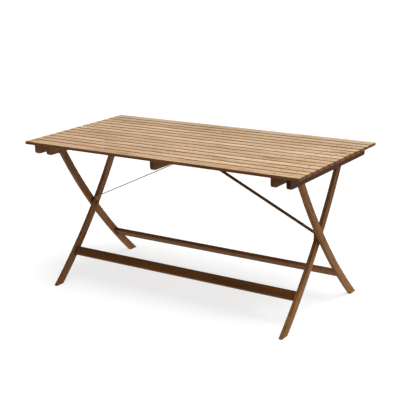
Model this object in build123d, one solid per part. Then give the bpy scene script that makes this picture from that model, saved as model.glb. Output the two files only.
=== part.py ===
"""Folding picnic table: a slatted top on five bearers, carried by two crossed leg frames.

Frame: X along the top, +X right; Y across it, -Y front; Z up from the floor, origin on the
floor under the middle of the top.  All sizes are in millimetres.  The outer leg frame hangs
from bolts near the front of the top and stands at the back.  The inner frame is its mirror
image: it bears on the slats near the back and stands at the front.  The frames cross at the
middle on two bolts, and two flat steel struts run from those bolts to the centre bearer.
"""
from build123d import *
import math
import os

# ---- the top ----
TOP_LENGTH = 1500.0
TOP_WIDTH = 754.0
TOP_HEIGHT = 740.0
SLAT_COUNT = 14
SLAT_THICKNESS = 14.0
SLAT_PITCH = 52.3
SLAT_GAP = 6.0
SLAT_ROUNDING = 1.8

# ---- bearers under the slats, the inner pair and the outer pair gripping the leg tops ----
BEARER_THICKNESS = 21.0
BEARER_DEPTH = 46.0
BEARER_LENGTH = 724.0
BEARER_CORNER = 15.0
BEARER_ROUNDING = 1.5
STACK_START = 609.0
STACK_GAP = 5.0

# ---- legs: one gentle arc through the top pivot, the crossing and the foot ----
LEG_THICKNESS = 19.0
LEG_WIDTH = 36.0
LEG_ROUNDING = 2.5
LEG_TOP_PLAY = 0.5
PIVOT_Y = 228.5
CROSSING_Z = 357.0
FOOT_Y = 322.0
FOOT_TOE = 1.8
FOOT_HEEL = 6.0

# ---- rails between the legs of one frame ----
RAIL_CENTRE_Z = 142.0
RAIL_WIDTH = 43.0
RAIL_THICKNESS = 19.0
RAIL_ROUNDING = 2.0
DOWEL_RADIUS = 4.0
DOWEL_SPACING = 22.0
DOWEL_IN_RAIL = 17.0
DOWEL_IN_LEG = 13.0

# ---- steel struts and the keeper that their upper ends sit in ----
STRUT_WIDTH = 22.0
STRUT_THICKNESS = 4.0
STRUT_BEND_RADIUS = 7.0
STRUT_TAB_CORNER = 10.8
STRUT_TIP_CORNER = 4.0
STRUT_TAB_BELOW_CROSSING = 20.0
STRUT_TAB_ABOVE_CROSSING = 28.7
STRUT_TIP_X = 16.0
STRUT_TIP_BELOW_BEARER = 8.0
KEEPER_PLATE = 3.0
KEEPER_REACH = 34.0
KEEPER_FRONT_Y = -15.0
KEEPER_BACK_Y = -3.0
KEEPER_FLANGE_DROP = 22.0
KEEPER_TONGUE_HALF = 9.5
KEEPER_TONGUE_Y = -52.0

# ---- fasteners ----
BOLT_RADIUS = 4.0
RUNNING_FIT = 0.06
BOLT_HEAD_RADIUS = 6.5
BOLT_HEAD_HEIGHT = 3.5
NUT_RADIUS = 8.0
NUT_HEIGHT = 3.0
NUT_CAP = 0.8
WASHER_RADIUS = 11.0
SLEEVE_RADIUS = 7.0
BODY_GAP = 0.3
SCREW_RADIUS = 1.75
SCREW_HEAD_RADIUS = 3.8
SCREW_HEAD_DEPTH = 2.4
SCREW_LENGTH = 38.0
SCREW_RECESS = 0.4
SCREW_FIT = 0.05

# ---- levels and the stack along X that follow from these ----
SLAT_BOTTOM = TOP_HEIGHT - SLAT_THICKNESS
BEARER_BOTTOM = SLAT_BOTTOM - BEARER_DEPTH
PIVOT_Z = SLAT_BOTTOM - LEG_TOP_PLAY - LEG_WIDTH / 2
INNER_BEARER = (STACK_START, STACK_START + BEARER_THICKNESS)
INNER_LEG = (INNER_BEARER[1] + STACK_GAP, INNER_BEARER[1] + STACK_GAP + LEG_THICKNESS)
OUTER_LEG = (INNER_LEG[1] + STACK_GAP, INNER_LEG[1] + STACK_GAP + LEG_THICKNESS)
OUTER_BEARER = (OUTER_LEG[1] + STACK_GAP, OUTER_LEG[1] + STACK_GAP + BEARER_THICKNESS)
BEARER_MIDDLES = {
    "left_outer": -sum(OUTER_BEARER) / 2,
    "left_inner": -sum(INNER_BEARER) / 2,
    "centre": 0.0,
    "right_inner": sum(INNER_BEARER) / 2,
    "right_outer": sum(OUTER_BEARER) / 2,
}


def box_between(x, y, z):
    """A box from three (low, high) pairs."""
    size = [high - low for low, high in (x, y, z)]
    middle = [(high + low) / 2 for low, high in (x, y, z)]
    return Pos(*middle) * Box(*size)


def rod(x, y, z, radius):
    """A cylinder along X, from a (low, high) pair, on the line through (y, z)."""
    length = x[1] - x[0]
    return Pos((x[0] + x[1]) / 2, y, z) * Rot(0, 90, 0) * Cylinder(radius, length)


def ring(x, y, z, outer, inner):
    """A washer or a sleeve along X."""
    return rod(x, y, z, outer) - rod(x, y, z, inner)


def along(shape, axis):
    """The edges of a shape that run along one axis."""
    return shape.edges().filter_by(axis)


def mirrored(x):
    """A (low, high) pair along X, carried to the left end."""
    return (-x[1], -x[0])


def save(name, *solids):
    """Write one node; several solids make one group of separate pieces."""
    shape = solids[0] if len(solids) == 1 else Compound(children=list(solids))
    export_step(shape, f"parts/{name}.step")


# ---------------------------------------------------------------- leg centre line
def circle_through(a, b, c):
    """Centre and radius of the circle through three points."""
    d = 2 * (a[0] * (b[1] - c[1]) + b[0] * (c[1] - a[1]) + c[0] * (a[1] - b[1]))
    squares = [p[0] ** 2 + p[1] ** 2 for p in (a, b, c)]
    y = (squares[0] * (b[1] - c[1]) + squares[1] * (c[1] - a[1]) + squares[2] * (a[1] - b[1])) / d
    z = (squares[0] * (c[0] - b[0]) + squares[1] * (a[0] - c[0]) + squares[2] * (b[0] - a[0])) / d
    return (y, z), math.hypot(a[0] - y, a[1] - z)


ARC_CENTRE, ARC_RADIUS = circle_through((-PIVOT_Y, PIVOT_Z), (0.0, CROSSING_Z), (FOOT_Y, 0.0))


def arc_angle(z):
    """Angle on the leg's arc at a height, on the side of the arc where the leg is."""
    return math.pi - math.asin((z - ARC_CENTRE[1]) / ARC_RADIUS)


def arc_point(angle, offset=0.0):
    """Point of the outer leg, offset across its width."""
    radius = ARC_RADIUS + offset
    return (ARC_CENTRE[0] + radius * math.cos(angle), ARC_CENTRE[1] + radius * math.sin(angle))


RAIL_ANGLE = arc_angle(RAIL_CENTRE_Z)
RAIL_CENTRE = arc_point(RAIL_ANGLE)
RAIL_TILT = math.degrees(RAIL_ANGLE) - 180


def leg_solid(x, pivot_hole):
    """An outer-frame leg between two X values, bored for its bolts."""
    half = LEG_WIDTH / 2
    top, below_floor = arc_angle(PIVOT_Z), arc_angle(-LEG_WIDTH)
    middle = (top + below_floor) / 2
    with BuildSketch(Plane.YZ.offset(x[0])) as outline:
        with BuildLine():
            ThreePointArc(*(arc_point(a, half) for a in (top, middle, below_floor)))
            Line(arc_point(below_floor, half), arc_point(below_floor, -half))
            ThreePointArc(*(arc_point(a, -half) for a in (below_floor, middle, top)))
            Line(arc_point(top, -half), arc_point(top, half))
        make_face()
        with Locations((-PIVOT_Y, PIVOT_Z)):
            Circle(half)
        with Locations((0, -TOP_HEIGHT / 2)):
            Rectangle(2 * TOP_WIDTH, TOP_HEIGHT, mode=Mode.SUBTRACT)
        on_floor = outline.vertices().filter_by_position(Axis.Y, -BODY_GAP, BODY_GAP)
        heel, toe = on_floor.sort_by(Axis.X)
        fillet(toe, FOOT_TOE)
        fillet(heel, FOOT_HEEL)
    leg = extrude(outline.sketch, x[1] - x[0])
    rims = [edge for face in leg.faces().filter_by(Axis.X) for edge in face.edges()]
    leg = fillet(rims, LEG_ROUNDING)
    leg -= rod(x, 0, CROSSING_Z, BOLT_RADIUS + RUNNING_FIT)
    if pivot_hole:
        leg -= rod(x, -PIVOT_Y, PIVOT_Z, BOLT_RADIUS + RUNNING_FIT)
    return leg


def rail_frame():
    """The place and tilt of the outer frame's rail: X along it, Y across, Z along the leg."""
    return Pos(0, *RAIL_CENTRE) * Rot(RAIL_TILT, 0, 0)


def dowels(leg_face, radius):
    """The four dowels that pin a rail to the inner faces of its legs."""
    span = (leg_face - DOWEL_IN_RAIL, leg_face + DOWEL_IN_LEG)
    return [rail_frame() * rod(x, 0, offset, radius)
            for x in (mirrored(span), span) for offset in (-DOWEL_SPACING / 2, DOWEL_SPACING / 2)]


def rail_solid(leg_face):
    """A rail that ends on the inner faces of its two legs."""
    rail = Box(2 * leg_face, RAIL_THICKNESS, RAIL_WIDTH)
    rail = rail_frame() * fillet(along(rail, Axis.X), RAIL_ROUNDING)
    for hole in dowels(leg_face, DOWEL_RADIUS):
        rail -= hole
    return rail


def frame_pieces(leg_x, pivot_hole):
    """Left leg, right leg, rail and dowels of one leg frame, in the outer frame's attitude."""
    right = leg_solid(leg_x, pivot_hole)
    pins = dowels(leg_x[0], DOWEL_RADIUS)
    for hole in pins[2:]:
        right -= hole
    return mirror(right, about=Plane.YZ), right, rail_solid(leg_x[0]), pins


# ---------------------------------------------------------------- tabletop
def screw(x, y, fit=0.0):
    """A countersunk wood screw, head up; with a fit it is the hole for one."""
    head_top = TOP_HEIGHT - (0.0 if fit else SCREW_RECESS)
    cone_top = TOP_HEIGHT - SCREW_RECESS
    cone = Pos(x, y, cone_top - SCREW_HEAD_DEPTH / 2) * Cone(
        SCREW_RADIUS + fit, SCREW_HEAD_RADIUS + fit, SCREW_HEAD_DEPTH)
    bottom = TOP_HEIGHT - SCREW_LENGTH
    shank = Pos(x, y, (bottom + cone_top) / 2) * Cylinder(SCREW_RADIUS + fit, cone_top - bottom)
    body = cone + shank
    if fit:
        body += Pos(x, y, (head_top + cone_top) / 2) * Cylinder(
            SCREW_HEAD_RADIUS + fit, head_top - cone_top)
    return body


def slat_span(index):
    """The low and high Y of one slat; the two edge slats are wider and reach the rim."""
    gaps = [(i - (SLAT_COUNT - 2) / 2) * SLAT_PITCH for i in range(SLAT_COUNT - 1)]
    low = -TOP_WIDTH / 2 if index == 0 else gaps[index - 1] + SLAT_GAP / 2
    high = TOP_WIDTH / 2 if index == SLAT_COUNT - 1 else gaps[index] - SLAT_GAP / 2
    return low, high


def slat_middle(index):
    return sum(slat_span(index)) / 2


def slat_solid(index):
    half = TOP_LENGTH / 2
    slat = box_between((-half, half), slat_span(index), (SLAT_BOTTOM, TOP_HEIGHT))
    slat = fillet(along(slat, Axis.X), SLAT_ROUNDING)
    for x in BEARER_MIDDLES.values():
        slat -= screw(x, slat_middle(index), SCREW_FIT)
    return slat


def bearer_solid(x_middle):
    half = BEARER_LENGTH / 2
    with BuildSketch(Plane.YZ.offset(x_middle - BEARER_THICKNESS / 2)) as side:
        with Locations((0, (BEARER_BOTTOM + SLAT_BOTTOM) / 2)):
            Rectangle(2 * half, BEARER_DEPTH)
        fillet(side.vertices().sort_by(Axis.Y)[:2], BEARER_CORNER)
    bearer = extrude(side.sketch, BEARER_THICKNESS)
    rims = [edge for face in bearer.faces().filter_by(Axis.X) for edge in face.edges()
            if edge.center().Z < SLAT_BOTTOM - BEARER_ROUNDING]
    bearer = fillet(rims, BEARER_ROUNDING)
    for index in range(SLAT_COUNT):
        bearer -= screw(x_middle, slat_middle(index), SCREW_FIT)
    return bearer


# ---------------------------------------------------------------- bolts, nuts and washers
def bolt(head_x, end_x, y, z):
    """A button-head bolt whose head bears at head_x and whose shank ends at end_x."""
    shank = rod((end_x, head_x), y, z, BOLT_RADIUS)
    head = rod((head_x, head_x + BOLT_HEAD_HEIGHT), y, z, BOLT_HEAD_RADIUS)
    rim = head.edges().filter_by(GeomType.CIRCLE).sort_by(Axis.X)[-1]
    return shank + fillet(rim, BOLT_HEAD_HEIGHT * 0.7)


def cap_nut(x, y, z):
    """A flat round cap nut that bears at x, with a blind bore for the bolt's end."""
    disc = rod((x - NUT_HEIGHT, x), y, z, NUT_RADIUS)
    rim = disc.edges().filter_by(GeomType.CIRCLE).sort_by(Axis.X)[0]
    return fillet(rim, NUT_HEIGHT * 0.6) - rod((x - NUT_HEIGHT + NUT_CAP, x), y, z, BOLT_RADIUS)


def both_ends(*solids):
    """The solids of the right-hand end with their mirror images at the left-hand end."""
    return [mirror(solid, about=Plane.YZ) for solid in solids] + list(solids)


# ---------------------------------------------------------------- struts and keeper
def strut_solid():
    """The right-hand strut: an upright tab on the crossing bolt, a bend, and a rising bar."""
    tab_x = INNER_LEG[0] - BODY_GAP - STRUT_THICKNESS / 2
    bottom = (tab_x, CROSSING_Z - STRUT_TAB_BELOW_CROSSING)
    bend = (tab_x, CROSSING_Z + STRUT_TAB_ABOVE_CROSSING)
    tip = (STRUT_TIP_X, BEARER_BOTTOM - STRUT_TIP_BELOW_BEARER)
    with BuildSketch(Plane.XZ) as profile:
        with BuildLine() as middle:
            FilletPolyline(bottom, bend, tip, radius=STRUT_BEND_RADIUS)
        trace(line_width=STRUT_THICKNESS)
    strut = extrude(profile.sketch, STRUT_WIDTH / 2, both=True)
    corners = strut.edges().filter_by(lambda edge: abs(edge.length - STRUT_THICKNESS) < BODY_GAP
                                      and abs(edge.center().Y) > STRUT_WIDTH / 2 - BODY_GAP)
    corners = corners.sort_by(Axis.Z)
    strut = fillet(corners[:2], STRUT_TAB_CORNER)
    strut = fillet(strut.edges().filter_by(
        lambda edge: any((edge.center() - tip.center()).length < BODY_GAP
                         for tip in corners[-2:])), STRUT_TIP_CORNER)
    strut -= rod((tab_x - STRUT_THICKNESS, tab_x + STRUT_THICKNESS), 0, CROSSING_Z,
                 BOLT_RADIUS + RUNNING_FIT)
    return strut


def keeper_solid():
    """A folded steel keeper: a tongue under the centre bearer, wings over the strut tips."""
    plate_z = (BEARER_BOTTOM - KEEPER_PLATE, BEARER_BOTTOM)
    tongue = box_between((-KEEPER_TONGUE_HALF, KEEPER_TONGUE_HALF),
                         (KEEPER_TONGUE_Y, KEEPER_BACK_Y), plate_z)
    wings = box_between((-KEEPER_REACH, KEEPER_REACH), (KEEPER_FRONT_Y, KEEPER_BACK_Y), plate_z)
    flange = box_between((-KEEPER_REACH, KEEPER_REACH),
                         (KEEPER_FRONT_Y, KEEPER_FRONT_Y + KEEPER_PLATE),
                         (BEARER_BOTTOM - KEEPER_FLANGE_DROP, BEARER_BOTTOM))
    keeper = tongue + wings + flange
    for hole in keeper_screws(SCREW_FIT):
        keeper -= hole
    return keeper


def keeper_screws(fit=0.0):
    """Two round-head screws up through the keeper's tongue into the centre bearer."""
    screws = []
    for y in (KEEPER_TONGUE_Y + 10, KEEPER_TONGUE_Y + 26):
        top = BEARER_BOTTOM + 18
        shank = Pos(0, y, (BEARER_BOTTOM - KEEPER_PLATE + top) / 2) * Cylinder(
            SCREW_RADIUS + fit, top - BEARER_BOTTOM + KEEPER_PLATE)
        head = Pos(0, y, BEARER_BOTTOM - KEEPER_PLATE - 1.25) * Cylinder(SCREW_HEAD_RADIUS, 2.5)
        screws.append(shank if fit else shank + head)
    return screws


# ---------------------------------------------------------------- write the nodes
def write_tabletop():
    for index in range(SLAT_COUNT):
        save(f"slat_{index + 1:02d}", slat_solid(index))
    for name, x in BEARER_MIDDLES.items():
        bearer = bearer_solid(x)
        if name == "centre":
            for hole in keeper_screws(SCREW_FIT):
                bearer -= hole
        else:
            bearer -= rod((x - BEARER_THICKNESS, x + BEARER_THICKNESS), -PIVOT_Y, PIVOT_Z,
                          BOLT_RADIUS + RUNNING_FIT)
        save(f"bearer_{name}", bearer)
        save(f"slat_screws_{name}", *(screw(x, slat_middle(i)) for i in range(SLAT_COUNT)))
    pivot = (-PIVOT_Y, PIVOT_Z)
    bore = BOLT_RADIUS + RUNNING_FIT
    save("pivot_bolts", *both_ends(
        bolt(OUTER_BEARER[1], INNER_BEARER[0] - NUT_HEIGHT + NUT_CAP, *pivot)))
    save("pivot_nuts", *both_ends(cap_nut(INNER_BEARER[0], *pivot)))
    save("pivot_sleeves", *both_ends(
        ring((INNER_BEARER[1], OUTER_LEG[0] - BODY_GAP), *pivot, SLEEVE_RADIUS, bore)))
    save("pivot_washers", *both_ends(
        ring((OUTER_LEG[1] + BODY_GAP, OUTER_BEARER[0]), *pivot, WASHER_RADIUS, bore)))
    save("strut_keeper", keeper_solid())
    save("keeper_screws", *keeper_screws())


def write_outer_frame():
    left, right, rail, pins = frame_pieces(OUTER_LEG, True)
    save("outer_leg_left", left)
    save("outer_leg_right", right)
    save("rear_rail", rail)
    save("rear_rail_dowels", *pins)


def write_inner_frame():
    left, right, rail, pins = (
        [mirror(p, about=Plane.XZ) for p in piece] if isinstance(piece, list)
        else mirror(piece, about=Plane.XZ) for piece in frame_pieces(INNER_LEG, False))
    save("inner_leg_left", left)
    save("inner_leg_right", right)
    save("front_rail", rail)
    save("front_rail_dowels", *pins)
    crossing = (0, CROSSING_Z)
    nut_face = INNER_LEG[0] - 2 * BODY_GAP - STRUT_THICKNESS
    save("crossing_bolts", *both_ends(
        bolt(OUTER_LEG[1] + BODY_GAP, nut_face - NUT_HEIGHT + NUT_CAP, *crossing)))
    save("crossing_nuts", *both_ends(cap_nut(nut_face, *crossing)))
    save("crossing_washers", *both_ends(
        ring((INNER_LEG[1], OUTER_LEG[0] - BODY_GAP), *crossing, WASHER_RADIUS,
             BOLT_RADIUS + RUNNING_FIT)))


def write_struts():
    right = strut_solid()
    save("strut_left", mirror(right, about=Plane.YZ))
    save("strut_right", right)


os.makedirs("parts", exist_ok=True)
write_tabletop()
write_outer_frame()
write_inner_frame()
write_struts()
print(f"leg arc radius {ARC_RADIUS:.1f}, rail centre {RAIL_CENTRE[0]:.1f}, {RAIL_CENTRE[1]:.1f}")
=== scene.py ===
import math
import random

import bmesh
import bpy
from mathutils import Euler, Matrix, Vector, noise


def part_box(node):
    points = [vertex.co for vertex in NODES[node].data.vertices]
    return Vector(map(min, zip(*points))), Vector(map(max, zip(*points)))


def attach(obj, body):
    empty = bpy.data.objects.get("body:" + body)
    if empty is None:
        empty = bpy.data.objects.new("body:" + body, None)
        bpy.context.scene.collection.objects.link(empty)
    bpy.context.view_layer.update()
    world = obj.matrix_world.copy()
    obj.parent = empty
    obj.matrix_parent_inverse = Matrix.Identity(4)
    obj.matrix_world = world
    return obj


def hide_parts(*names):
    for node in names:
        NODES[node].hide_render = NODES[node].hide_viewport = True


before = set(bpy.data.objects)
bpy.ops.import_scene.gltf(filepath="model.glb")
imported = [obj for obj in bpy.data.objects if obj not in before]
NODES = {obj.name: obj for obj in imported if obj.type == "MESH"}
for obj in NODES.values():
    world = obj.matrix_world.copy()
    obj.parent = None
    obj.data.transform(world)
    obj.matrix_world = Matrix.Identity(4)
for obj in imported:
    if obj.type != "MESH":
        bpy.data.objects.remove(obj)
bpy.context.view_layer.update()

MM = 0.001
random.seed(14)


# ---------------------------------------------------------------- camera and light
CAMERA_PLACE = (2.532, -3.728, 1.740)
CAMERA_YAW, CAMERA_PITCH, CAMERA_ROLL = (math.radians(a) for a in (34.06, 15.95, -1.43))
CAMERA_LENS, CAMERA_SENSOR = 87.26, 36.0
CAMERA_NEAR, CAMERA_FAR = 0.05, 200.0
FLOOR_HALF = 40.0
FLOOR_GLOW = 0.68
FLOOR_GREY = 0.40
HORIZON_LIGHT, SKY_LIGHT = 1.05, 0.22
HORIZON_TOP, SKY_BOTTOM = 0.16, 0.34
KEY_TOWARDS, KEY_ENERGY, KEY_ANGLE = (-0.25, 0.05, -0.95), 2.75, 40
PANEL_PLACE, PANEL_TOWARDS = (3.0, 0.3, 1.6), (-0.90, -0.10, -0.45)
PANEL_ENERGY, PANEL_SIZE = 34, 1.6


def add_camera():
    """The camera looks along its yaw and pitch, and leans by its roll."""
    look = Vector((-math.sin(CAMERA_YAW) * math.cos(CAMERA_PITCH),
                   math.cos(CAMERA_YAW) * math.cos(CAMERA_PITCH),
                   -math.sin(CAMERA_PITCH)))
    level = Vector((math.cos(CAMERA_YAW), math.sin(CAMERA_YAW), 0))
    rise = level.cross(look)
    right = level * math.cos(CAMERA_ROLL) + rise * math.sin(CAMERA_ROLL)
    up = rise * math.cos(CAMERA_ROLL) - level * math.sin(CAMERA_ROLL)
    data = bpy.data.cameras.new("camera")
    data.lens, data.sensor_width = CAMERA_LENS, CAMERA_SENSOR
    data.clip_start, data.clip_end = CAMERA_NEAR, CAMERA_FAR
    camera = bpy.data.objects.new("camera", data)
    turn = Matrix((right, up, -look)).transposed().to_4x4()
    camera.matrix_world = Matrix.Translation(CAMERA_PLACE) @ turn
    bpy.context.scene.collection.objects.link(camera)
    bpy.context.scene.camera = camera


def add_light(name, kind, place, towards, energy, **settings):
    """A light at a place, shining along a direction."""
    data = bpy.data.lights.new(name, kind)
    data.energy = energy
    for key, value in settings.items():
        setattr(data, key, value)
    light = bpy.data.objects.new(name, data)
    light.location = place
    light.rotation_mode = "QUATERNION"
    light.rotation_quaternion = Vector(towards).to_track_quat("-Z", "Y")
    bpy.context.scene.collection.objects.link(light)


def add_studio():
    """A wide pale floor, a surround that dims upward, a soft key from above, a panel at the right."""
    half = FLOOR_HALF
    mesh = bpy.data.meshes.new("floor")
    mesh.from_pydata([(-half, -half, 0), (half, -half, 0), (half, half, 0), (-half, half, 0)],
                     [], [(0, 1, 2, 3)])
    floor = bpy.data.objects.new("floor", mesh)
    bpy.context.scene.collection.objects.link(floor)
    material = bpy.data.materials.new("studio_floor")
    material.use_nodes = True
    shader = material.node_tree.nodes["Principled BSDF"]
    shader.inputs["Base Color"].default_value = (FLOOR_GREY, FLOOR_GREY, FLOOR_GREY, 1)
    shader.inputs["Roughness"].default_value = 0.9
    shader.inputs["Specular IOR Level"].default_value = 0.1
    shader.inputs["Emission Color"].default_value = (1.0, 1.0, 1.0, 1)
    shader.inputs["Emission Strength"].default_value = FLOOR_GLOW
    mesh.materials.append(material)

    world = bpy.data.worlds.new("surround")
    world.use_nodes = True
    nodes, links = world.node_tree.nodes, world.node_tree.links
    direction = nodes.new("ShaderNodeTexCoord").outputs["Generated"]
    parts = nodes.new("ShaderNodeSeparateXYZ")
    links.new(direction, parts.inputs[0])
    rise = nodes.new("ShaderNodeMapRange")
    for key, value in {"From Min": HORIZON_TOP, "From Max": SKY_BOTTOM,
                       "To Min": HORIZON_LIGHT, "To Max": SKY_LIGHT}.items():
        rise.inputs[key].default_value = value
    links.new(parts.outputs["Z"], rise.inputs["Value"])
    links.new(rise.outputs[0], nodes["Background"].inputs["Strength"])
    nodes["Background"].inputs["Color"].default_value = (1.0, 1.0, 1.0, 1)
    bpy.context.scene.world = world
    add_light("key", "SUN", (0, 0, 3), KEY_TOWARDS, KEY_ENERGY, angle=math.radians(KEY_ANGLE))
    add_light("panel", "AREA", PANEL_PLACE, PANEL_TOWARDS, PANEL_ENERGY, size=PANEL_SIZE)
    bpy.context.scene.view_settings.view_transform = "Standard"


# ---------------------------------------------------------------- node helpers
class Graph:
    """A material's node tree, with short calls to add nodes and join them."""

    def __init__(self, name):
        self.material = bpy.data.materials.new(name)
        self.material.use_nodes = True
        self.tree = self.material.node_tree
        self.shader = self.tree.nodes["Principled BSDF"]

    def node(self, kind, inputs=None, **settings):
        made = self.tree.nodes.new(kind)
        for key, value in settings.items():
            setattr(made, key, value)
        for key, value in (inputs or {}).items():
            self.feed(made.inputs[key], value)
        return made

    def feed(self, socket, value):
        if isinstance(value, bpy.types.NodeSocket):
            self.tree.links.new(value, socket)
        else:
            socket.default_value = value

    def math(self, operation, a, b=0.0):
        made = self.node("ShaderNodeMath", operation=operation)
        self.feed(made.inputs[0], a)
        self.feed(made.inputs[1], b)
        return made.outputs[0]

    def blend(self, *weighted):
        """The sum of (value, weight) pairs."""
        total = 0.0
        for value, weight in weighted:
            total = self.node("ShaderNodeMath", {0: value, 1: weight, 2: total},
                              operation="MULTIPLY_ADD").outputs[0]
        return total

    def spread(self, value, low, high, to_low=0.0, to_high=1.0, kind="LINEAR"):
        return self.node("ShaderNodeMapRange", {
            "Value": value, "From Min": low, "From Max": high, "To Min": to_low,
            "To Max": to_high}, interpolation_type=kind).outputs[0]

    def facing(self, normal, axis):
        made = self.node("ShaderNodeVectorMath", {0: normal, 1: axis},
                         operation="DOT_PRODUCT")
        return made.outputs["Value"]

    def mapping(self, vector, scale=(1, 1, 1), place=(0, 0, 0), turn=(0, 0, 0)):
        return self.node("ShaderNodeMapping", {
            "Vector": vector, "Location": place, "Rotation": turn, "Scale": scale}).outputs[0]

    def noise(self, vector, scale=1.0, detail=3.0, roughness=0.55):
        return self.node("ShaderNodeTexNoise", {
            "Vector": vector, "Scale": scale, "Detail": detail,
            "Roughness": roughness}).outputs["Fac"]

    def grain(self, point, layer, shorten=1.0):
        """Noise drawn out along X; layer is its cycles along and across, detail and roughness."""
        along, across, detail, roughness = layer
        drawn = self.mapping(point, scale=(along * shorten, across, across))
        return self.noise(drawn, detail=detail, roughness=roughness)

    def mix(self, factor, a, b, blend="MIX"):
        made = self.node("ShaderNodeMix", data_type="RGBA", blend_type=blend)
        self.feed(made.inputs[0], factor)
        for socket, value in ((made.inputs[6], a), (made.inputs[7], b)):
            self.feed(socket, (*value, 1) if isinstance(value, tuple) else value)
        return made.outputs[2]

    def tint(self, factor, colour, by):
        """colour multiplied by another colour, as far as factor says."""
        return self.mix(factor, colour, self.mix(1.0, colour, by, "MULTIPLY"))


# ---------------------------------------------------------------- wood
# noise layers: cycles a metre along and across the grain, detail, roughness
FIBRE, STREAK = (7.0, 330, 4.0, 0.62), (2.2, 75, 4.0, 0.62)
FLECK, BROAD, PORES = (26, 190, 2.0, 0.55), (0.7, 16, 2.0, 0.55), (46, 1200, 1.0, 0.55)
CLOUD_CYCLES = 3.3
BOARD_SHIFT = 3
WARP_STRETCH, WARP_REACH = (0.9, 5, 5), (0.0, 0.022, 0.022)
RING_STRETCH, RING_CYCLES, RING_WOBBLE = (0.03, 1, 1), (30, 46), 1.2
PITH_ASIDE, PITH_ABOVE = (-0.09, 0.09), (0.05, 0.12)
RING_PART, FIBRE_PART, STREAK_PART, BROAD_PART = 0.26, 0.36, 0.34, 0.24
FIGURE_MIDDLE, FIGURE_REACH = 0.60, 0.21

# each mark: where its noise begins and is full, and the colour that it multiplies by
CLOUD_RANGE, CLOUD_TINT = (0.62, 0.36), (0.84, 0.80, 0.76)
FLECK_RANGE, FLECK_TINT, FLECK_STRENGTH = (0.56, 0.70), (0.58, 0.48, 0.40), 0.8
PORE_RANGE, PORE_TINT, PORE_STRENGTH = (0.60, 0.67), (0.52, 0.45, 0.40), 0.75
KNOT_STRETCH = (2.2, 15, 15)
HALO_RANGE, HALO_TINT = (0.16, 0.05), (0.70, 0.56, 0.44)
EYE_RANGE, EYE_TINT = (0.060, 0.035), (0.30, 0.22, 0.18)

# faces that look up take the lighter pair: painted top light, with the sides and rounded edges left
# darker as painted shade
TOP_LIGHT_RANGE = (0.88, 0.985)
END_RANGE, END_TONE = (0.75, 0.95), (0.60, 0.50, 0.42)
EDGE_RADIUS, EDGE_RANGE, EDGE_PATCHES = 1.6 * MM, (0.97, 0.84), (0.42, 0.60)
EDGE_STRENGTH, EDGE_PALER, EDGE_PALEST = 0.45, 1.2, 0.9
# painted shade: the colour is darkened where an occlusion test finds surfaces close by, in the gaps
# between slats, at joints and at crossings
CREVICE_SHADE_REACH, CREVICE_SHADE_RANGE, CREVICE_SHADE_TINT = 11 * MM, (0.78, 0.42), (0.38, 0.215, 0.125)
# painted light and shade by height on the legs: the colour is multiplied high up and the effect fades
# out near the floor
PAINTED_SHADING_HEIGHTS = (0.10, 0.60)
SHEEN_NOISE, WOOD_ROUGHNESS, WOOD_IOR = (0.3, 0.7), (0.42, 0.62), 1.13
WOOD_BUMP = {"Strength": 0.30, "Distance": 0.0006}


def growth_rings(g, point, draw):
    """Saw-edged rings round a pith that lies outside the board."""
    warp = g.node("ShaderNodeTexNoise", {
        "Vector": g.mapping(point, scale=WARP_STRETCH), "Scale": 1.0, "Detail": 2.0})
    warped = g.node("ShaderNodeVectorMath", {
        0: warp.outputs["Color"], 1: WARP_REACH, 2: point}, operation="MULTIPLY_ADD")
    pith = (0, draw.uniform(*PITH_ASIDE), draw.uniform(*PITH_ABOVE))
    return g.node("ShaderNodeTexWave", {
        "Vector": g.mapping(warped.outputs[0], scale=RING_STRETCH, place=pith),
        "Scale": draw.uniform(*RING_CYCLES), "Distortion": RING_WOBBLE, "Detail": 2.0,
        "Detail Scale": 2.0},
        wave_type="RINGS", rings_direction="X", wave_profile="SAW").outputs["Fac"]


def with_marks(g, colour, point, cloud, pore_mark, short_grain):
    """The colour with broad clouds, flecks, pores and a few pin knots."""
    colour = g.tint(g.spread(cloud, *CLOUD_RANGE), colour, CLOUD_TINT)
    flecks = g.spread(g.grain(point, FLECK, short_grain), *FLECK_RANGE)
    colour = g.tint(g.math("MULTIPLY", flecks, FLECK_STRENGTH), colour, FLECK_TINT)
    colour = g.tint(g.math("MULTIPLY", pore_mark, PORE_STRENGTH), colour, PORE_TINT)
    # each knot has a dark eye in a warm halo
    knots = g.node("ShaderNodeTexVoronoi", {
        "Vector": g.mapping(point, scale=KNOT_STRETCH), "Scale": 1.0, "Randomness": 1.0},
        feature="F1").outputs["Distance"]
    for reach, shade in ((HALO_RANGE, HALO_TINT), (EYE_RANGE, EYE_TINT)):
        colour = g.tint(g.spread(knots, *reach, kind="SMOOTHSTEP"), colour, shade)
    return colour


def with_wear(g, colour, normal, streak, axis, end_tone, rubbed):
    """The colour with sawn ends toned, since they take up more oil, and edges rubbed paler."""
    ends = g.math("ABSOLUTE", g.facing(normal, axis))
    colour = g.tint(g.spread(ends, *END_RANGE), colour, end_tone)
    bevel = g.node("ShaderNodeBevel", {"Radius": EDGE_RADIUS}, samples=4).outputs[0]
    edges = g.spread(g.facing(bevel, normal), *EDGE_RANGE)
    worn = g.math("MULTIPLY", edges, g.spread(streak, *EDGE_PATCHES))
    return g.mix(g.math("MULTIPLY", worn, EDGE_STRENGTH), colour, rubbed)


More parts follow.
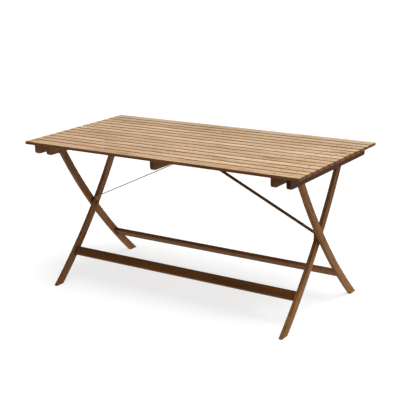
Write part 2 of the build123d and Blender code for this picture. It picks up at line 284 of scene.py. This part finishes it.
def wood(name, dark, light, seed, grain_turn=(0, 0, 0), tint=(1, 1, 1), top_lit_pair=None,
         figure_contrast=1.0, short_grain=1.0, end_tone=END_TONE, height_shading=None):
    """Oiled hardwood whose grain runs along X once its points are turned by grain_turn.

    dark and light are the late and early wood; the pair for faces that look up is painted there as a
    painted top light, the other faces keeping the darker pair as painted shade.
    The height factor multiplies the colour high up, fading to nothing near the floor: painted shade
    under the top, and painted light where the factor is above one.
    """
    draw = random.Random(seed)
    g = Graph(name)
    space = g.node("ShaderNodeTexCoord")
    normal = space.outputs["Normal"]
    point = g.mapping(space.outputs["Object"], turn=grain_turn)
    point = g.mapping(point, place=tuple(draw.uniform(-BOARD_SHIFT, BOARD_SHIFT)
                                         for _ in range(3)))
    rings = growth_rings(g, point, draw)
    fibre = g.grain(point, FIBRE, short_grain)
    streak = g.grain(point, STREAK, short_grain)
    cloud = g.noise(point, scale=CLOUD_CYCLES, detail=3.0)
    pore_mark = g.spread(g.grain(point, PORES), *PORE_RANGE)

    figure = g.blend((rings, RING_PART), (fibre, FIBRE_PART), (streak, STREAK_PART),
                     (g.grain(point, BROAD), BROAD_PART))
    reach = FIGURE_REACH / figure_contrast
    figure = g.spread(figure, FIGURE_MIDDLE - reach, FIGURE_MIDDLE + reach)
    colour = g.mix(figure, dark, light)
    # painted light on faces that look up; the sides keep the darker colour as painted shade
    if top_lit_pair:
        upward = g.spread(g.facing(normal, (0, 0, 1)), *TOP_LIGHT_RANGE, kind="SMOOTHSTEP")
        colour = g.mix(upward, colour, g.mix(figure, *top_lit_pair))
    colour = with_marks(g, colour, point, cloud, pore_mark, short_grain)

    axis = Euler(grain_turn).to_matrix().inverted() @ Vector((1, 0, 0))
    rubbed = tuple(min(EDGE_PALEST, EDGE_PALER * channel) for channel in light)
    colour = with_wear(g, colour, normal, streak, axis, end_tone, rubbed)
    # painted shade under the top, and painted light where the factor is above one, fading out towards
    # the floor
    if height_shading:
        height = g.node("ShaderNodeSeparateXYZ", {0: space.outputs["Object"]}).outputs["Z"]
        colour = g.tint(g.spread(height, *PAINTED_SHADING_HEIGHTS), colour, height_shading)
    # painted shade in gaps, joints and crossings, darker the more occluded the point is
    crevice_occlusion = g.node("ShaderNodeAmbientOcclusion", {"Distance": CREVICE_SHADE_REACH}, samples=6)
    colour = g.tint(g.spread(crevice_occlusion.outputs["AO"], *CREVICE_SHADE_RANGE), colour, CREVICE_SHADE_TINT)
    # tint is the board's own random tone for the slats, and painted light and shade for the bearers,
    # legs and rails
    g.feed(g.shader.inputs["Base Color"], g.mix(1.0, colour, tint, "MULTIPLY"))

    sheen = g.blend((fibre, 0.6), (cloud, 0.4))
    g.feed(g.shader.inputs["Roughness"], g.spread(sheen, *SHEEN_NOISE, *WOOD_ROUGHNESS))
    g.shader.inputs["IOR"].default_value = WOOD_IOR
    height = g.blend((fibre, 1.0), (streak, 0.5), (rings, 0.25), (pore_mark, -0.9))
    bump = g.node("ShaderNodeBump", {"Height": height, **WOOD_BUMP})
    g.feed(g.shader.inputs["Normal"], bump.outputs[0])
    return g.material


# ---------------------------------------------------------------- metal
METAL_SHIFT = 2
TARNISH_CYCLES, TARNISH_RANGE, TARNISH_TINT = 34.0, (0.66, 0.38), (0.62, 0.58, 0.50)
SPOT_CYCLES, SPOT_RANGE, SPOT_TINT = 420.0, (0.62, 0.72), (0.55, 0.48, 0.40)
DRAWN_LINES, LINE_STRENGTH, LINE_PALER = (9, 1300, 2.0, 0.55), 0.25, 1.3
ROUGH_BELOW, ROUGH_ABOVE = 0.08, 0.14
METAL_BUMP = {"Strength": 0.14, "Distance": 0.0002}


def steel(name, colour, rough, seed):
    """Satin steel with cloudy tarnish, a darker grime and fine draw lines along X."""
    draw = random.Random(seed)
    g = Graph(name)
    space = g.node("ShaderNodeTexCoord")
    point = g.mapping(space.outputs["Object"], place=tuple(
        draw.uniform(-METAL_SHIFT, METAL_SHIFT) for _ in range(3)))
    cloud = g.noise(point, scale=TARNISH_CYCLES, detail=4.0)
    spots = g.noise(point, scale=SPOT_CYCLES, detail=2.0)
    lines = g.grain(point, DRAWN_LINES)
    tone = g.tint(g.spread(cloud, *TARNISH_RANGE), colour, TARNISH_TINT)
    tone = g.tint(g.spread(spots, *SPOT_RANGE), tone, SPOT_TINT)
    paler = tuple(min(1.0, LINE_PALER * channel) for channel in colour)
    tone = g.mix(g.math("MULTIPLY", lines, LINE_STRENGTH), tone, paler)
    g.feed(g.shader.inputs["Base Color"], tone)
    g.shader.inputs["Metallic"].default_value = 1.0
    sheen = g.blend((cloud, 0.6), (lines, 0.4))
    g.feed(g.shader.inputs["Roughness"],
           g.spread(sheen, *SHEEN_NOISE, rough - ROUGH_BELOW, rough + ROUGH_ABOVE))
    height = g.blend((lines, 1.0), (spots, 0.6))
    bump = g.node("ShaderNodeBump", {"Height": height, **METAL_BUMP})
    g.feed(g.shader.inputs["Normal"], bump.outputs[0])
    return g.material


# ---------------------------------------------------------------- mesh helpers
CORNER_STEPS = 3
CREASE_DEGREES = 32


def rounded_outline(half_a, half_b, radius):
    """Points round a rounded rectangle, each as (a, b)."""
    points = []
    for quarter, (sign_a, sign_b) in enumerate(((1, 1), (-1, 1), (-1, -1), (1, -1))):
        for k in range(CORNER_STEPS + 1):
            turn = math.pi / 2 * (quarter + k / CORNER_STEPS)
            points.append((sign_a * (half_a - radius) + radius * math.cos(turn),
                           sign_b * (half_b - radius) + radius * math.sin(turn)))
    return points


def skin(name, rings):
    """A closed mesh through rings of points."""
    count = len(rings[0])
    faces = [(i * count + k, i * count + (k + 1) % count,
              (i + 1) * count + (k + 1) % count, (i + 1) * count + k)
             for i in range(len(rings) - 1) for k in range(count)]
    faces.append(tuple(range(count))[::-1])
    faces.append(tuple(range((len(rings) - 1) * count, len(rings) * count)))
    mesh = bpy.data.meshes.new(name)
    mesh.from_pydata([point for ring in rings for point in ring], [], faces)
    return mesh


def smooth_over(mesh):
    """Smooth shading, with creases where faces meet at more than an angle."""
    mesh.shade_smooth()
    mesh.set_sharp_from_angle(angle=math.radians(CREASE_DEGREES))


def outward(mesh):
    """Turn every face to look out."""
    work = bmesh.new()
    work.from_mesh(mesh)
    bmesh.ops.recalc_face_normals(work, faces=work.faces)
    work.to_mesh(mesh)
    work.free()


def piece(name, mesh, material, body, node):
    """Link a finished mesh as a visible piece that stands for a CAD node."""
    mesh.materials.clear()
    mesh.materials.append(material)
    made = bpy.data.objects.new(name, mesh)
    bpy.context.scene.collection.objects.link(made)
    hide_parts(node)
    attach(made, body)


def carve(mesh, cutter):
    """The mesh with the cutter mesh taken away from it."""
    solid = bpy.data.objects.new("carved", mesh)
    tool = bpy.data.objects.new("cutter", cutter)
    for thing in (solid, tool):
        bpy.context.scene.collection.objects.link(thing)
    cut = solid.modifiers.new("cut", "BOOLEAN")
    cut.operation, cut.solver, cut.object = "DIFFERENCE", "EXACT", tool
    bpy.context.view_layer.update()
    result = bpy.data.meshes.new_from_object(
        solid.evaluated_get(bpy.context.evaluated_depsgraph_get()))
    for thing in (solid, tool):
        bpy.data.objects.remove(thing)
    return result


def lathe(name, profile, sides):
    """A turned form about +Z through (radius, height) points, closed by flat ends."""
    work = bmesh.new()
    turns = [2 * math.pi * k / sides for k in range(sides)]
    rings = [[work.verts.new((r * math.cos(turn), r * math.sin(turn), z)) for turn in turns]
             for r, z in profile]
    for lower, upper in zip(rings, rings[1:]):
        for k in range(sides):
            work.faces.new((lower[k], lower[(k + 1) % sides], upper[(k + 1) % sides], upper[k]))
    work.faces.new(rings[0][::-1])
    work.faces.new(rings[-1])
    bmesh.ops.recalc_face_normals(work, faces=work.faces)
    mesh = bpy.data.meshes.new(name)
    work.to_mesh(mesh)
    work.free()
    return mesh


def joined(name, copies):
    """One mesh from (mesh, matrix) pairs."""
    work = bmesh.new()
    for mesh, matrix in copies:
        moved = mesh.copy()
        moved.transform(matrix)
        if matrix.determinant() < 0:
            moved.flip_normals()
        work.from_mesh(moved)
        bpy.data.meshes.remove(moved)
    mesh = bpy.data.meshes.new(name)
    work.to_mesh(mesh)
    work.free()
    return mesh


# ---------------------------------------------------------------- the slats and their screws
SLATS = [f"slat_{number:02d}" for number in range(1, 15)]
SLAT_ROUNDING = 1.8 * MM
SLAT_EASE = 0.9 * MM
# how a slat's end is eased: distance in from the end and inset, in parts of SLAT_EASE
END_PROFILE = ((0.0, 1.0), (0.35, 0.35), (1.0, 0.08), (3.0, 0.0))
SLAT_STATIONS, FIRST_STATION = 44, 4 * MM
SWAY_CYCLES, SLAT_SWAY = 1.6, 0.25 * MM
RUB_CYCLES, RUB_DEPTH, RUB_ROUNDING = 9, 0.12 * MM, 0.22
SWAY_APART, RUB_APART = 3.7, 5.1
MOST_ROUNDING_LOST = 0.6
EDGE_SLATS_BEYOND = 0.32
SHADE_RANGE, WARMTH_RANGE = (0.88, 1.12), (-0.05, 0.05)

SCREW_ROWS = ("left_outer", "left_inner", "centre", "right_inner", "right_outer")
SCREW_HEAD_RADIUS, SCREW_RECESS, SCREW_HEAD_DEPTH = 3.8 * MM, 0.4 * MM, 2.4 * MM
SCREW_SHANK, SCREW_LENGTH, SCREW_MOUTH = 1.75 * MM, 38 * MM, 4.6 * MM
SCREW_TIP, SCREW_POINT_LENGTH, SCREW_RIM = 0.2 * MM, 3 * MM, 0.25 * MM
RIM_ROLL_IN, RIM_ROLL_DOWN = 0.08 * MM, 0.1 * MM
SCREW_SIDES = 24
HOLE_FIT, HOLE_DEPTH, HOLE_OVERRUN = 0.05 * MM, 30 * MM, 1 * MM
CROSS_ARM, CROSS_HALF_WIDTH, CROSS_DEPTH = 2.1 * MM, 0.42 * MM, 1.5 * MM
CROSS_TAPER, CROSS_OVERRUN = 0.6, 0.3 * MM


def middle_of(node):
    low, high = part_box(node)
    return (low + high) / 2


def screw_hole():
    """The countersink and bore that one screw sits in, mouth at height 0."""
    bore, head = SCREW_SHANK + HOLE_FIT, SCREW_HEAD_RADIUS + HOLE_FIT
    profile = [(bore, -HOLE_DEPTH), (bore, -SCREW_RECESS - SCREW_HEAD_DEPTH),
               (head, -SCREW_RECESS), (head + HOLE_FIT, -0.7 * SCREW_RECESS),
               (SCREW_MOUTH, 0.0), (SCREW_MOUTH, HOLE_OVERRUN)]
    return lathe("screw_hole", profile, SCREW_SIDES)


def slat_mesh(name, low, high, seed):
    """One slat: eased long edges and ends, and a bow and wear too slight to notice at once."""
    middle, half = (low + high) / 2, (high - low) / 2
    length = 2 * half.x
    ends = [(along * SLAT_EASE, inset * SLAT_EASE) for along, inset in END_PROFILE]
    run = length - 2 * FIRST_STATION
    stations = ends + [(FIRST_STATION + run * k / SLAT_STATIONS, 0.0)
                       for k in range(SLAT_STATIONS + 1)]
    stations += [(length - along, inset) for along, inset in reversed(ends)]
    most_sway = 0.0 if abs(middle.y) > EDGE_SLATS_BEYOND else SLAT_SWAY
    rings = []
    for along, inset in stations:
        x = low.x + along
        sway = most_sway * noise.noise(Vector((SWAY_CYCLES * x, SWAY_APART * seed, 0)))
        rub = noise.noise(Vector((RUB_CYCLES * x, RUB_APART * seed, 2)))
        half_y = half.y - inset - RUB_DEPTH * (1 + rub)
        radius = SLAT_ROUNDING * (1.0 + RUB_ROUNDING * rub)
        lost = min(inset, MOST_ROUNDING_LOST * radius)
        outline = rounded_outline(half_y, half.z - inset, radius - lost)
        rings.append([(x, middle.y + a + sway, middle.z + b) for a, b in outline])
    mesh = skin(name, rings)
    outward(mesh)
    return mesh


def add_slats():
    hole = screw_hole()
    for index, node in enumerate(SLATS, 1):
        low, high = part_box(node)
        y = (low.y + high.y) / 2
        holes = joined("holes", [
            (hole, Matrix.Translation((middle_of(f"bearer_{row}").x, y, high.z)))
            for row in SCREW_ROWS])
        mesh = carve(slat_mesh(node, low, high, index), holes)
        smooth_over(mesh)
        shade = random.uniform(*SHADE_RANGE)
        warmth = random.uniform(*WARMTH_RANGE)
        material = wood(f"slat_wood_{index:02d}", SLAT_DARK, SLAT_LIGHT, index,
                        tint=(shade * (1 + warmth), shade, shade * (1 - warmth)),
                        top_lit_pair=SLAT_TOP_LIT, short_grain=SLAT_SHORT_GRAIN, end_tone=SLAT_END_TONE)
        piece(f"board_{index:02d}", mesh, material, "tabletop", node)


def screw_mesh():
    """A countersunk wood screw with a cross recess, head face at height 0."""
    head = SCREW_HEAD_RADIUS
    profile = [(SCREW_TIP, -SCREW_LENGTH + SCREW_RECESS),
               (SCREW_SHANK, SCREW_POINT_LENGTH - SCREW_LENGTH),
               (SCREW_SHANK, -SCREW_HEAD_DEPTH), (head, -SCREW_RIM),
               (head - RIM_ROLL_IN, -RIM_ROLL_DOWN), (head - SCREW_RIM, 0.0)]
    quarter = [(CROSS_ARM, -CROSS_HALF_WIDTH), (CROSS_ARM, CROSS_HALF_WIDTH),
               (CROSS_HALF_WIDTH, CROSS_HALF_WIDTH)]
    cross = [Matrix.Rotation(math.radians(90 * k), 2) @ Vector(point)
             for k in range(4) for point in quarter]
    punch = skin("cross", [[(CROSS_TAPER * a, CROSS_TAPER * b, -CROSS_DEPTH) for a, b in cross],
                           [(a, b, CROSS_OVERRUN) for a, b in cross]])
    outward(punch)
    return carve(lathe("screw", profile, SCREW_SIDES), punch)


def add_slat_screws(material):
    screw = screw_mesh()
    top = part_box(SLATS[0])[1].z - SCREW_RECESS
    for row in SCREW_ROWS:
        x = middle_of(f"bearer_{row}").x
        copies = []
        for slat in SLATS:
            turn = Matrix.Rotation(random.uniform(0, math.pi / 2), 4, "Z")
            copies.append((screw, Matrix.Translation((x, middle_of(slat).y, top)) @ turn))
        mesh = joined(f"screws_{row}", copies)
        smooth_over(mesh)
        piece(f"screws_{row}", mesh, material, "tabletop", f"slat_screws_{row}")


# ---------------------------------------------------------------- bolts and cap nuts
BOLT_RADIUS = 4 * MM
HEAD_RADIUS, HEAD_HEIGHT = 6.5 * MM, 3.5 * MM
HEAD_EDGE, BOLT_CHAMFER, BOLT_SIDES = 0.2 * MM, 0.7 * MM, 32
HEAD_SHOULDER, DOME_DEGREES = 0.25, (25, 45, 62, 78)
NUT_BLIND_DEPTH = 2.2 * MM
HEX_FLATS, HEX_FLOOR, HEX_CONE = 4 * MM, 0.6 * MM, 1.1 * MM


def bolt_mesh(length):
    """A button-head bolt along +Z, its head bearing at height 0, with a hex socket."""
    shoulder = HEAD_SHOULDER * HEAD_HEIGHT
    profile = [(BOLT_RADIUS - BOLT_CHAMFER, -length), (BOLT_RADIUS, BOLT_CHAMFER - length),
               (BOLT_RADIUS, 0.0), (HEAD_RADIUS - HEAD_EDGE, 0.0), (HEAD_RADIUS, HEAD_EDGE),
               (HEAD_RADIUS, shoulder)]
    for rise in (math.radians(degrees) for degrees in DOME_DEGREES):
        profile.append((HEAD_RADIUS * math.cos(rise),
                        shoulder + (HEAD_HEIGHT - shoulder) * math.sin(rise)))
    across = HEX_FLATS / math.sqrt(3)
    punch = lathe("hex", [(0.3 * across, HEX_FLOOR), (across, HEX_CONE),
                          (across, 2 * HEAD_HEIGHT)], 6)
    return carve(lathe("bolt", profile, BOLT_SIDES), punch)


def both_ends(name, mesh, x, y, z):
    """A turned mesh laid along X at the right end, and its mirror image at the left end."""
    lay = Matrix.Translation((x, y, z)) @ Matrix.Rotation(math.radians(90), 4, "Y")
    flip = Matrix.Diagonal((-1, 1, 1, 1))
    return joined(name, [(mesh, lay), (mesh, flip @ lay)])


def add_bolts(material):
    for family, body in (("pivot", "tabletop"), ("crossing", "inner_frame")):
        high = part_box(f"{family}_bolts")[1]
        centre = middle_of(f"{family}_bolts")
        head_x = high.x - HEAD_HEIGHT
        length = head_x - (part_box(f"{family}_nuts")[1].x - NUT_BLIND_DEPTH)
        mesh = both_ends(f"{family}_bolt_pair", bolt_mesh(length), head_x, centre.y, centre.z)
        smooth_over(mesh)
        piece(f"{family}_bolt_pair", mesh, material, body, f"{family}_bolts")


def dress(node, material):
    """Give a CAD node a better material."""
    mesh = NODES[node].data
    mesh.materials.clear()
    mesh.materials.append(material)


# ---------------------------------------------------------------- colours and finish
# the first pair stays on the slats' sides and rounded edges as painted shade; the second pair is the
# painted top light on faces that look up
SLAT_DARK, SLAT_LIGHT = (0.072, 0.028, 0.010), (0.172, 0.070, 0.025)
SLAT_TOP_LIT = ((0.455, 0.268, 0.132), (0.800, 0.612, 0.418))
SLAT_SHORT_GRAIN, SLAT_END_TONE = 0.4, (1.05, 1.10, 1.10)
BEARER_DARK, BEARER_LIGHT = (0.080, 0.037, 0.0145), (0.190, 0.093, 0.039)
# left to right, in the order of SCREW_ROWS; painted light and shade per bearer: the right outer one
# darkened as painted shadow under the top's overhang, the left outer one painted lighter
BEARER_PAINTED_SHADING = ((1.45, 1.50, 1.70), (1.05, 1.05, 1.05), (0.92, 0.92, 0.92),
                (0.82, 0.84, 0.88), (0.41, 0.31, 0.22))
LEG_DARK, LEG_LIGHT = (0.085, 0.038, 0.012), (0.330, 0.165, 0.060)
LEG_CONTRAST = 1.5
# painted light and shade: one tint per leg for how brightly that leg is lit
LEG_PAINTED_SHADING = {"outer_leg_left": (1.10, 1.01, 1.06), "inner_leg_left": (0.72, 0.64, 0.64),
             "outer_leg_right": (0.96, 0.92, 0.88), "inner_leg_right": (0.98, 0.94, 0.92)}
# painted light and shade high on each leg: below one is painted shade under the top, above one is
# painted light
LEG_HEIGHT_SHADING = {"outer_leg_left": (0.56, 0.55, 0.64), "inner_leg_left": (1.42, 1.46, 1.48),
               "outer_leg_right": (0.78, 0.74, 0.70), "inner_leg_right": (0.52, 0.51, 0.54)}
RAIL_DARK, RAIL_LIGHT = (0.075, 0.029, 0.009), (0.205, 0.090, 0.030)
# painted light and shade: the front rail painted darker and the rear rail painted lighter, for how
# each is lit
RAIL_PAINTED_SHADING = {"front_rail": (0.82, 0.75, 0.68), "rear_rail": (1.12, 1.10, 1.12)}
DOWEL_DARK, DOWEL_LIGHT = (0.25, 0.13, 0.06), (0.42, 0.25, 0.13)
BRONZE, BRONZE_ROUGH = (0.170, 0.080, 0.020), 0.32
ZINC, ZINC_ROUGH = (0.11, 0.080, 0.052), 0.46
SCREW_STEEL, SCREW_ROUGH = (0.140, 0.100, 0.062), 0.40
ALONG_Y = (0, 0, math.radians(-90))
BEARER_SEED, LEG_SEED, RAIL_SEED, DOWEL_SEED = 40, 60, 80, 95
BRONZE_SEED, ZINC_SEED, SCREW_SEED = 90, 91, 92


def along_leg(node):
    """The turn that lays a leg's grain along X, from the leg's own box."""
    low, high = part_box(node)
    lean = math.atan2(high.y - low.y, high.z - low.z)
    side = 1 if node.startswith("outer") else -1
    stand_down = Euler((0, math.radians(90), 0)).to_matrix()
    return tuple((stand_down @ Euler((-side * lean, 0, 0)).to_matrix()).to_euler())


def dress_frame():
    for seed, (row, tint) in enumerate(zip(SCREW_ROWS, BEARER_PAINTED_SHADING)):
        node = f"bearer_{row}"
        dress(node, wood(node + "_wood", BEARER_DARK, BEARER_LIGHT, BEARER_SEED + seed,
                         ALONG_Y, tint))
    for seed, (node, tint) in enumerate(LEG_PAINTED_SHADING.items()):
        dress(node, wood(node + "_wood", LEG_DARK, LEG_LIGHT, LEG_SEED + seed, along_leg(node),
                         tint, figure_contrast=LEG_CONTRAST, height_shading=LEG_HEIGHT_SHADING[node]))
    for seed, (node, tint) in enumerate(RAIL_PAINTED_SHADING.items()):
        dress(node, wood(node + "_wood", RAIL_DARK, RAIL_LIGHT, RAIL_SEED + seed, tint=tint))
        dress(node + "_dowels",
              wood(node + "_dowel_wood", DOWEL_DARK, DOWEL_LIGHT, DOWEL_SEED + seed))


def dress_metal(bronze, zinc):
    for node in ("strut_left", "strut_right", "strut_keeper"):
        dress(node, bronze)
    for node in NODES:
        if node.split("_")[-1] in ("nuts", "washers", "sleeves") or node == "keeper_screws":
            dress(node, zinc)


bronze = steel("bronzed_steel", BRONZE, BRONZE_ROUGH, BRONZE_SEED)
zinc = steel("dark_steel", ZINC, ZINC_ROUGH, ZINC_SEED)
screw_steel = steel("screw_steel", SCREW_STEEL, SCREW_ROUGH, SCREW_SEED)
add_camera()
add_studio()
add_slats()
add_slat_screws(screw_steel)
add_bolts(zinc)
dress_frame()
dress_metal(bronze, zinc)
